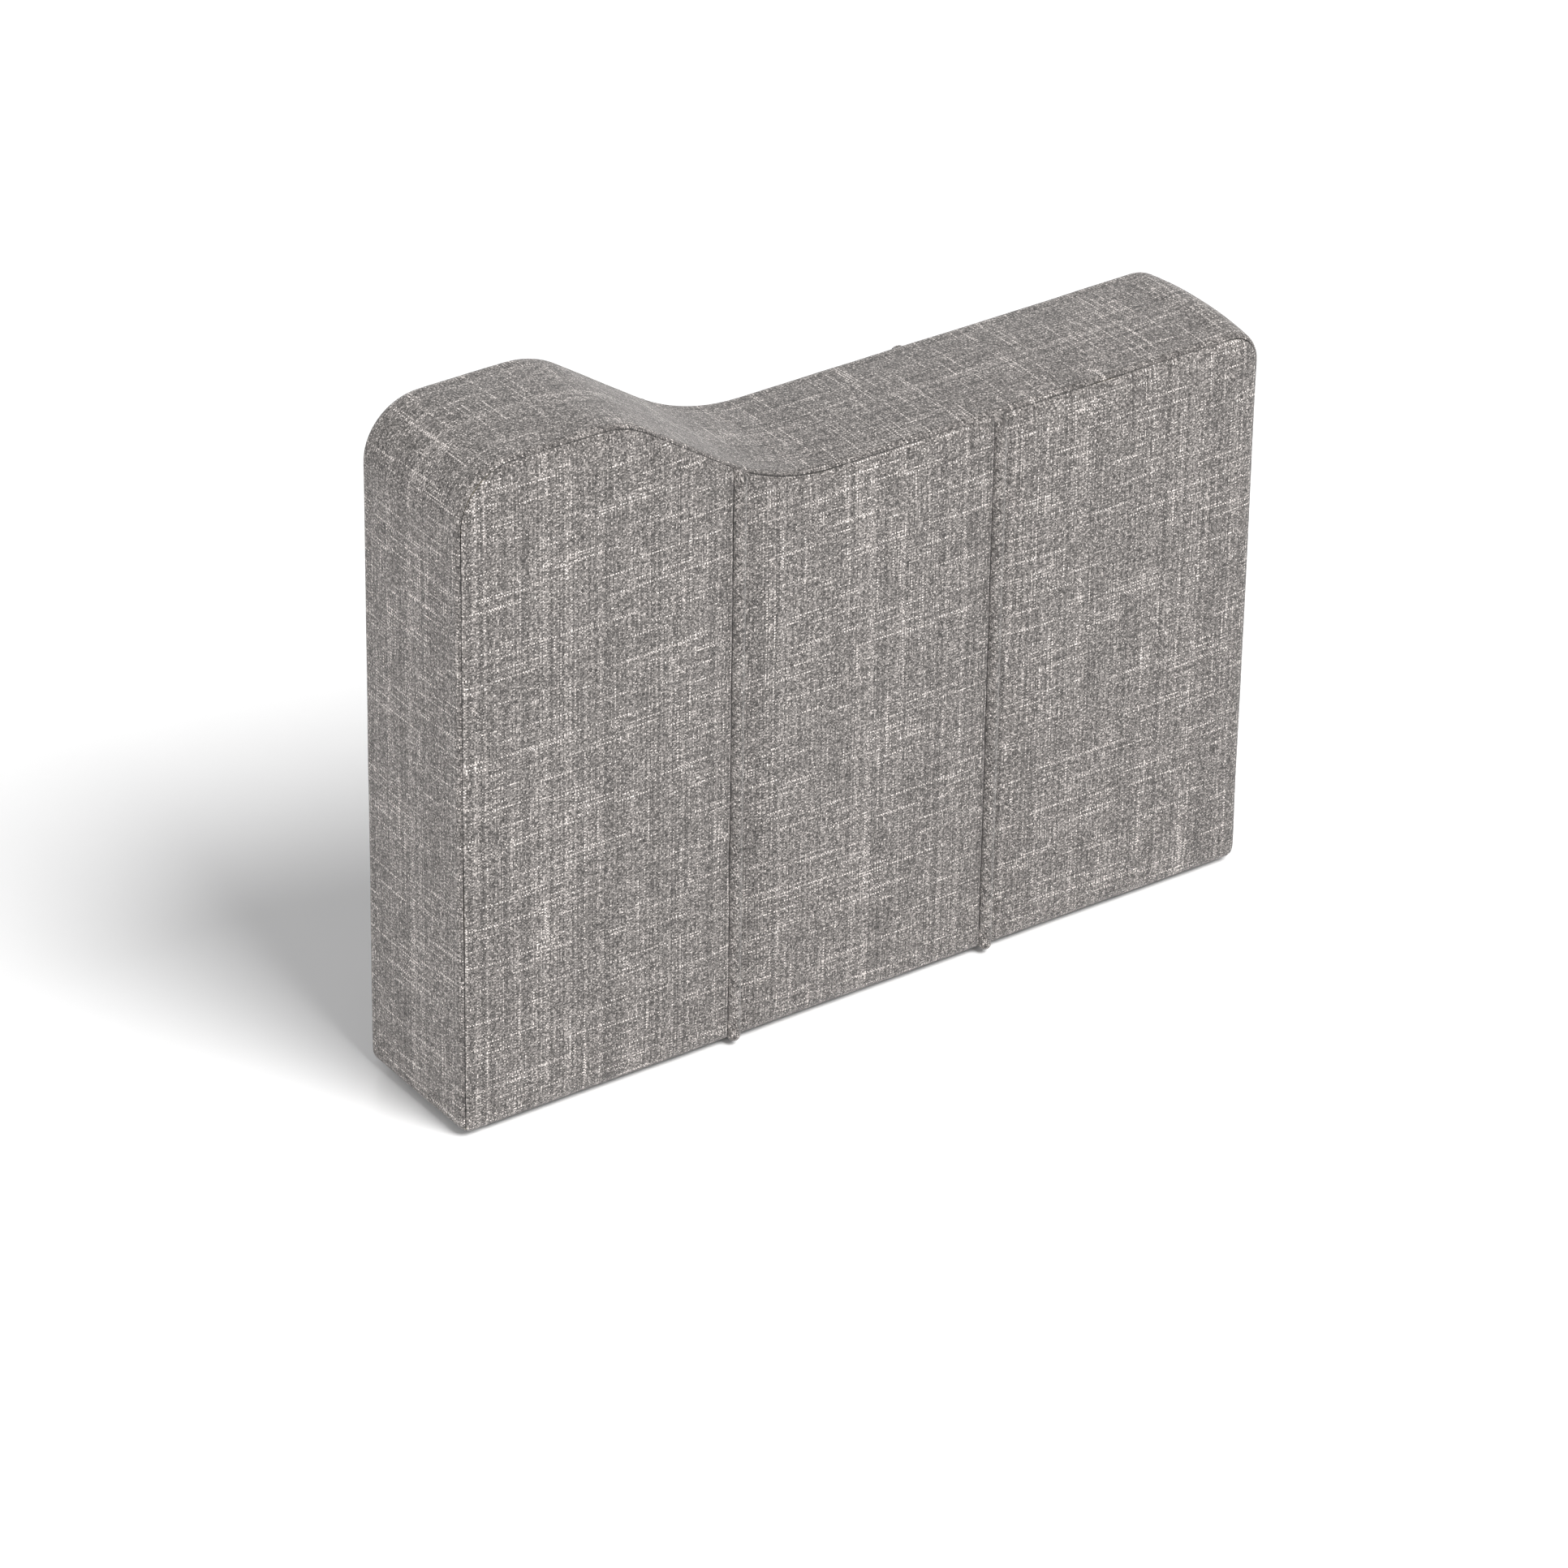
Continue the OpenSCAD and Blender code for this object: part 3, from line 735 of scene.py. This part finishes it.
    def under(centre_x, angle, depth, cloth_u):
        made = []
        limit = [np.full(len(centre_x), hem)]
        if near is None:
            limit.append(centre_x - left)
        if far is None:
            limit.append(right - centre_x)
        reach = np.min(limit, 0) - edge_r
        for turn in under_turns:
            tip = turn * quarter
            radius = edge_r - shallower(centre_x, depth, turn)
            points = np.column_stack([
                closed_up(centre_x, turn) + radius * np.sin(angle) * math.cos(tip),
                front + edge_r - radius * np.cos(angle) * math.cos(tip),
                underside + edge_r - radius * math.sin(tip)])
            made.append(row_of(points, cloth_u, floor_z - edge_r * tip, 1.0))
        for step in hem_steps:
            points = np.column_stack([closed_up(centre_x, 1.0), front + edge_r + step * reach,
                                      underside + np.minimum(shallower(centre_x, depth, 1.0), 0.0010)])
            made.append(row_of(points, cloth_u, floor_z - edge_r * quarter - step * reach, 1.0))
        return made

    bottom_x = flat[0, :, 0]
    grids.append(under(bottom_x, np.zeros(columns), column_depth, bottom_x))
    for end_x, sign, here in ((left + edge_r, -1, near is None), (right - edge_r, 1, far is None)):
        if here:
            angles = np.array([quarter / 2 - away / edge_r for away, _ in tuck[::-1]])
            deep = np.array([depth for _, depth in tuck[::-1]])
            laid_u = end_x + sign * edge_r * angles
            grids.append(under(np.full(len(tuck), end_x), sign * angles, deep, laid_u))
    return cover_mesh(name, grids)


def swell(piece, most):
    """Lets the foam press the cloth out between its seams: Cloth with pressure, then no point past most."""
    count = len(piece.data.vertices)
    before = np.zeros(count * 3)
    piece.data.vertices.foreach_get("co", before)
    single_out(piece)
    cloth = piece.modifiers.new("Cloth", "CLOTH")
    cloth.settings.quality = 4
    cloth.settings.mass = 0.3
    cloth.settings.vertex_group_mass = "held"
    cloth.settings.use_pressure = True
    cloth.settings.uniform_pressure_force = 4.0
    cloth.settings.effector_weights.gravity = 0.0
    cloth.settings.tension_stiffness = 20
    cloth.settings.compression_stiffness = 20
    cloth.settings.bending_stiffness = 0.6
    cloth.point_cache.frame_start, cloth.point_cache.frame_end = 1, 20
    for step in range(1, 21):
        bpy.context.scene.frame_set(step)
    bpy.ops.object.modifier_apply(modifier=cloth.name)
    bpy.context.scene.frame_set(1)
    after = np.zeros(count * 3)
    piece.data.vertices.foreach_get("co", after)
    move = (after - before).reshape(-1, 3)
    size = np.linalg.norm(move, axis=1)
    move *= (most * np.tanh(size / most) / np.maximum(size, 1e-9))[:, None]
    piece.data.vertices.foreach_set("co", before + move.ravel())
    piece.data.update()


pucker_from, pucker_to = 0.0072, 0.0300
face_swell = 0.0026

def unevenness(piece):
    """Stuffing is never quite even: broad shallow hollows in the faces, and small puckers by the seams."""
    normals = [v.normal.copy() for v in piece.data.vertices]
    for vert, normal in zip(piece.data.vertices, normals):
        spot = vert.co.copy()
        size = 0.0005 * noise.noise(spot * 7.0) + 0.00022 * noise.noise(spot * 21.0)
        near_seam = min([abs(spot.x - seam) for seam in (seam_1, seam_2)])
        if pucker_from < near_seam < pucker_to and abs(spot.y) > 0.08:
            ease = (near_seam - pucker_from) / (pucker_to - pucker_from)
            size += 0.00045 * noise.noise(Vector((spot.x * 12, 0, spot.z * 75))) * (1 - ease) ** 2
        vert.co = spot + normal * size


def finish_cover(piece, node):
    """One subdivision, the cloth's thickness on the inside, and the piece's place in the model."""
    single_out(piece)
    finer = piece.modifiers.new("finer", "SUBSURF")
    finer.levels = finer.render_levels = 1
    bpy.ops.object.modifier_apply(modifier="finer")
    unevenness(piece)
    wall = piece.modifiers.new("wall", "SOLIDIFY")
    wall.thickness = cloth_t
    wall.offset = -1
    bpy.ops.object.modifier_apply(modifier="wall")
    piece.vertex_groups.clear()
    give_finish(piece, panel_cloth)
    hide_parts(node)
    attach(piece, "panel")


for part, near, far in (("tall", None, seam_1), ("middle", seam_1, seam_2), ("low", seam_2, None)):
    cover = face_cover(f"front_{part}_fabric", near, far)
    swell(cover, face_swell)
    back = mirrored(cover, f"back_{part}_fabric")
    for spot in back.data.uv_layers["cloth"].uv:
        spot.vector = (1.7 - spot.vector.x, spot.vector.y + 0.9)
    finish_cover(cover, f"front_cover_{part}")
    finish_cover(back, f"back_cover_{part}")


# ---- Border cover -------------------------------------------------------------------
# One strip of the cover round the ends and over the wave, sewn to the faces in the
# middle of the rounded edges. Its weft runs across the strip. Its ends turn under.

border_swell = 0.0028
bulge_most = 0.0070
bulge_past_corner = 0.022

def border():
    pitch = 0.0078
    count = int(outline_len / pitch)
    s = np.linspace(0, outline_len, count + 1)
    # The strip is pulled tight over the low corner, and its middle stands out there
    from_corner = np.abs(s - low_corner_s) / (low_corner_r * quarter / 2 + bulge_past_corner)
    bulge = bulge_most * np.where(from_corner < 1, np.cos(from_corner * quarter) ** 2, 0)
    half = [(quarter / 2 + away / edge_r, depth, front + edge_r) for away, depth in tuck]
    flats = np.linspace(front + edge_r, -front - edge_r, 21)[1:-1]
    section = half + [(quarter, 0.0, y) for y in flats]
    section += [(angle, depth, -centre) for angle, depth, centre in half[::-1]]
    grids = []
    wall, ends = [], {0: [], 1: []}
    for number, (angle, depth, centre) in enumerate(section):
        side = -1 if number < len(section) / 2 else 1
        radius = edge_r - depth
        inset = edge_r - radius * math.sin(angle)
        y = centre + side * radius * math.cos(angle)
        cloth_u = centre + side * edge_r * (quarter - angle)
        point, normal = outline_at(s)
        spot = point + ((1 - (y / front) ** 2) * bulge - inset)[:, None] * normal
        sewn = 1.0 if number <= len(tuck) or number >= len(section) - 1 - len(tuck) else 0.0
        points = np.column_stack([spot[:, 0], np.full(len(s), y), spot[:, 1]])
        made = row_of(points, cloth_u, s, sewn)
        made[:2, 5] = made[-2:, 5] = 1
        wall.append(made)
        reach = min(hem, -front - abs(centre)) - edge_r
        for which, (end_x, out) in enumerate(((left, -1), (right, 1))):
            run = []
            for turn in under_turns:
                tip = turn * quarter
                run.append([end_x - out * edge_r + out * radius * math.sin(angle) * math.cos(tip),
                            centre + side * radius * math.cos(angle) * math.cos(tip),
                            underside + edge_r - radius * math.sin(tip),
                            cloth_u, -edge_r * tip, 1])
            for step in hem_steps:
                run.append([end_x - out * (edge_r + step * reach), centre, underside + depth,
                            cloth_u, -edge_r * quarter - step * reach, 1])
            run = np.array(run)
            if which:
                run[:, 4] = outline_len - run[:, 4]
            ends[which].append(run)
    return cover_mesh("border_fabric", [wall, ends[0], ends[1]])


cover = border()
swell(cover, border_swell)
finish_cover(cover, "border_cover")


# ---- Piping ---------------------------------------------------------------------------
# A three-ply cotton cord in a bias-cut tube of the cover fabric, sewn into the two
# upright seams of each face. Its lower tip is cut off and rounded, and its top dives
# under the border.

def piping_path(seam, face):
    """Points of the piping's middle line, from the bottom up and over the rounded edge."""
    tube = (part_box("front_piping_cover_1")[1].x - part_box("front_piping_cover_1")[0].x) / 2
    top = float(inner_at(s_above(seam, edge_r))[0, 1])
    run = [Vector((seam, front, z)) for z in np.linspace(underside + 0.0062, top, 120)]
    for angle in np.radians(np.arange(5, 51, 5)):
        deep = 0.0068 * (angle / math.radians(50)) ** 1.1
        inset = edge_r - (edge_r - deep) * math.sin(angle)
        spot = rim_point(s_above(seam, inset) * np.ones(1), angle * np.ones(1), deep * np.ones(1))[0]
        run.append(Vector(spot))
    run.append(run[-1] + Vector((0, 0.0035, -0.0015)))
    return [Vector((p.x, -face * p.y, p.z)) for p in run], tube


def tube_mesh(name, path, radii, sides, twist=0.0, offset=0.0, phase=0.0):
    """A tube along a path, closed at both ends. With an offset it winds round the path as one ply."""
    mesh = bmesh.new()
    cloth = mesh.loops.layers.uv.new("cloth")
    run, rings, before = 0.0, [], None
    for k, spot in enumerate(path):
        ahead = path[min(k + 1, len(path) - 1)] - path[max(k - 1, 0)]
        ahead.normalize()
        across = Vector((1, 0, 0))
        beside = ahead.cross(across).normalized()
        across = beside.cross(ahead).normalized()
        if before is not None:
            run += (spot - before).length
        before = spot
        turn = phase + run * twist
        centre = spot + offset * (math.cos(turn) * across + math.sin(turn) * beside)
        ring = []
        for side in range(sides):
            angle = 2 * math.pi * side / sides
            out = math.cos(angle) * across + math.sin(angle) * beside
            ring.append(mesh.verts.new(centre + radii[k] * out))
        rings.append((ring, run))
    girth = 2 * math.pi * max(radii) / sides
    for (low, low_run), (high, high_run) in zip(rings, rings[1:]):
        for side in range(sides):
            after = (side + 1) % sides
            face = mesh.faces.new((low[side], low[after], high[after], high[side]))
            for loop, uv in zip(face.loops, ((side, low_run), (side + 1, low_run), (side + 1, high_run),
                                             (side, high_run))):
                loop[cloth].uv = (uv[0] * girth, uv[1])
    mesh.faces.new(rings[0][0])
    mesh.faces.new(rings[-1][0])
    bmesh.ops.recalc_face_normals(mesh, faces=mesh.faces)
    piece = piece_from_grid(name)
    mesh.to_mesh(piece.data)
    mesh.free()
    piece.data.shade_smooth()
    return piece


piping_cloth = cover_cloth("cover_fabric_piping", bias=math.radians(45), slubs=0.12)
cotton, tree, shader = new_finish("piping_cord", Roughness=0.9, Sheen_Weight=0.3)
place = object_place(tree)
fibres = shader_node(tree, "ShaderNodeTexNoise", Vector=place, Scale=1800.0, Detail=3.0)
shade_by(tree, shader, "Base Color", fibres.outputs[0],
         [(0.3, (0.66, 0.62, 0.52)), (0.7, (0.86, 0.83, 0.76))])
roughen(tree, shader, fibres.outputs[0], 0.5, 0.0005)

for face, face_name in ((1, "front"), (-1, "back")):
    for number, seam in ((1, seam_1), (2, seam_2)):
        path, piping_r = piping_path(seam, face)
        # Rounded tips: rings that shrink towards a point just beyond each end
        foot = [path[0] - Vector((0, 0, piping_r * 0.86 * c)) for c in (0.98, 0.9, 0.75, 0.5, 0.25)]
        foot_radii = [piping_r * c for c in (0.16, 0.42, 0.66, 0.87, 0.97)]
        wobble = [piping_r + 0.00016 * noise.noise(Vector((number * 5, face * 3, p.z * 55))) for p in path]
        tube = tube_mesh(f"{face_name}_piping_{number}_fabric", foot + path, foot_radii + wobble, 20)
        give_finish(tube, piping_cloth)
        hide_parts(f"{face_name}_piping_cover_{number}")
        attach(tube, "panel")
        plies = []
        fine = [path[0].lerp(path[1], 0.5)] + [path[i].lerp(path[i + 1], t) for i in range(1, len(path) - 1)
                                               for t in (0.0, 0.5)]
        for ply in range(3):
            plies.append(tube_mesh(f"ply_{ply}", fine, [0.0023] * len(fine), 8, 210.0, 0.0025,
                                   ply * 2 * math.pi / 3))
        bpy.ops.object.select_all(action="DESELECT")
        for ply in plies:
            ply.select_set(True)
        bpy.context.view_layer.objects.active = plies[0]
        bpy.ops.object.join()
        cord = plies[0]
        cord.name = cord.data.name = f"{face_name}_piping_{number}_cord"
        give_finish(cord, cotton)
        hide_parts(f"{face_name}_piping_cord_{number}")
        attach(cord, "panel")


# ---- Dust cover -----------------------------------------------------------------------
# Black spun-bonded cloth stretched under the base. It laps over the covers' turned-in
# hems, and staples hold it along all four sides.

dust_low, dust_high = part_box("dust_cover")


def dust_sheet():
    columns, rows = 119, 17
    mesh = bmesh.new()
    cloth = mesh.loops.layers.uv.new("cloth")
    grid = []
    for j in range(rows):
        y = dust_low.y + (dust_high.y - dust_low.y) * j / (rows - 1)
        line = []
        for i in range(columns):
            x = dust_low.x + (dust_high.x - dust_low.x) * i / (columns - 1)
            edge = min(x - dust_low.x, dust_high.x - x, y - dust_low.y, dust_high.y - y)
            slack = 0.00012 * noise.noise(Vector((x * 22, y * 30, 4.0))) * min(1, edge / 0.012)
            line.append(mesh.verts.new((x, y, dust_low.z + 0.00016 + slack)))
        grid.append(line)
    for j in range(rows - 1):
        for i in range(columns - 1):
            face = mesh.faces.new((grid[j][i], grid[j + 1][i], grid[j + 1][i + 1], grid[j][i + 1]))
            for loop in face.loops:
                loop[cloth].uv = loop.vert.co.xy
    piece = piece_from_grid("dust_cloth_sheet")
    mesh.to_mesh(piece.data)
    mesh.free()
    piece.data.shade_smooth()
    wall = piece.modifiers.new("wall", "SOLIDIFY")
    wall.thickness = 0.0003
    wall.offset = -1
    single_out(piece)
    bpy.ops.object.modifier_apply(modifier="wall")
    return piece


dust = dust_sheet()
spunbond, tree, shader = new_finish("dust_cloth", Roughness=0.85)
place = object_place(tree)
points = shader_node(tree, "ShaderNodeTexVoronoi", Vector=place, Scale=650.0, Randomness=0.25)
fibres = shader_node(tree, "ShaderNodeTexNoise", Vector=place, Scale=900.0, Detail=5.0, Distortion=2.0)
tone = math_node(tree, "MULTIPLY_ADD", points.outputs[0], 0.6, fibres.outputs[0])
shade_by(tree, shader, "Base Color", tone, [(0.3, (0.006, 0.006, 0.007)), (0.9, (0.030, 0.030, 0.033))])
roughen(tree, shader, tone, 0.5, 0.0003)
give_finish(dust, spunbond)
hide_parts("dust_cover")
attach(dust, "panel")


# ---- Glide pads -------------------------------------------------------------------------
# Four moulded nylon pads, one on each threaded stem, with the dull skin of the mould
# and the light scuffs of use.

nylon, tree, shader = new_finish("glide_plastic")
place = object_place(tree)
grain = shader_node(tree, "ShaderNodeTexNoise", Vector=place, Scale=1500.0, Detail=3.0)
scuffs = shader_node(tree, "ShaderNodeTexNoise", Vector=place, Scale=160.0, Detail=6.0, Distortion=3.0)
shade_by(tree, shader, "Base Color", scuffs.outputs[0],
         [(0.45, (0.012, 0.012, 0.013)), (0.72, (0.035, 0.035, 0.036))])
shade_by(tree, shader, "Roughness", scuffs.outputs[0], [(0.4, 0.42), (0.7, 0.68)])
roughen(tree, shader, grain.outputs[0], 0.3, 0.0002)
for name in nodes:
    if name.endswith("_pad"):
        give_finish(nodes[name], nylon)


# ---- Floor, light and camera --------------------------------------------------------------
# A plain pale floor under soft studio light: a broad disc high in front, a small one by
# the tall end, and a soft bulb behind. The camera is above and to the left of the front.

bpy.ops.object.select_all(action="DESELECT")
bpy.ops.mesh.primitive_plane_add(size=60, location=(0, 0, 0))
studio_floor = bpy.context.object
studio_floor.name = "studio_floor"
paper, tree, shader = new_finish("studio_floor", Roughness=0.95, Specular_IOR_Level=0.1)
place = object_place(tree)
mottle = shader_node(tree, "ShaderNodeTexNoise", Vector=place, Scale=3.0, Detail=3.0)
shade_by(tree, shader, "Base Color", mottle.outputs[0],
         [(0.3, (0.90, 0.905, 0.91)), (0.7, (0.92, 0.925, 0.93))])
give_finish(studio_floor, paper)

world = bpy.data.worlds.new("pale_room")
bpy.context.scene.world = world
world.use_nodes = True
world.node_tree.nodes["Background"].inputs["Color"].default_value = (0.985, 0.99, 1.0, 1)
world.node_tree.nodes["Background"].inputs["Strength"].default_value = 0.30


def soft_light(name, kind, place, aim, size, watts, colour):
    lamp = bpy.data.lights.new(name, kind)
    if kind == "AREA":
        lamp.shape = "DISK"
        lamp.size = size
    else:
        lamp.shadow_soft_size = size / 2
    lamp.energy = watts
    lamp.color = colour
    made = bpy.data.objects.new(name, lamp)
    bpy.context.scene.collection.objects.link(made)
    made.location = place
    made.rotation_euler = (Vector(aim) - Vector(place)).to_track_quat("-Z", "Y").to_euler()


soft_light("key", "AREA", (1.45, -6.2, 8.2), (0, 0, 0.3), 6.2, 1400, (1.0, 0.99, 0.98))
soft_light("left_fill", "AREA", (-4.6, -0.9, 0.9), (0, 0, 0.45), 1.6, 100, (1.0, 0.99, 0.98))
soft_light("back_fill", "POINT", (2.4, 5.2, 1.1), (0, 0, 0.45), 2.0, 584, (1.0, 0.99, 0.98))

lens = bpy.data.cameras.new("camera")
lens.lens = 178.4
lens.sensor_width = 36
lens.clip_end = 100
camera = bpy.data.objects.new("camera", lens)
bpy.context.scene.collection.objects.link(camera)
yaw, pitch, roll = math.radians(35.3663), math.radians(30.8507), math.radians(0.9057)
camera.matrix_world = (Matrix.Translation((-4.08566, -5.69947, 4.40493)) @ Matrix.Rotation(-yaw, 4, "Z")
                       @ Matrix.Rotation(math.pi / 2 - pitch, 4, "X") @ Matrix.Rotation(roll, 4, "Z"))
bpy.context.scene.camera = camera
bpy.context.scene.view_settings.view_transform = "Standard"
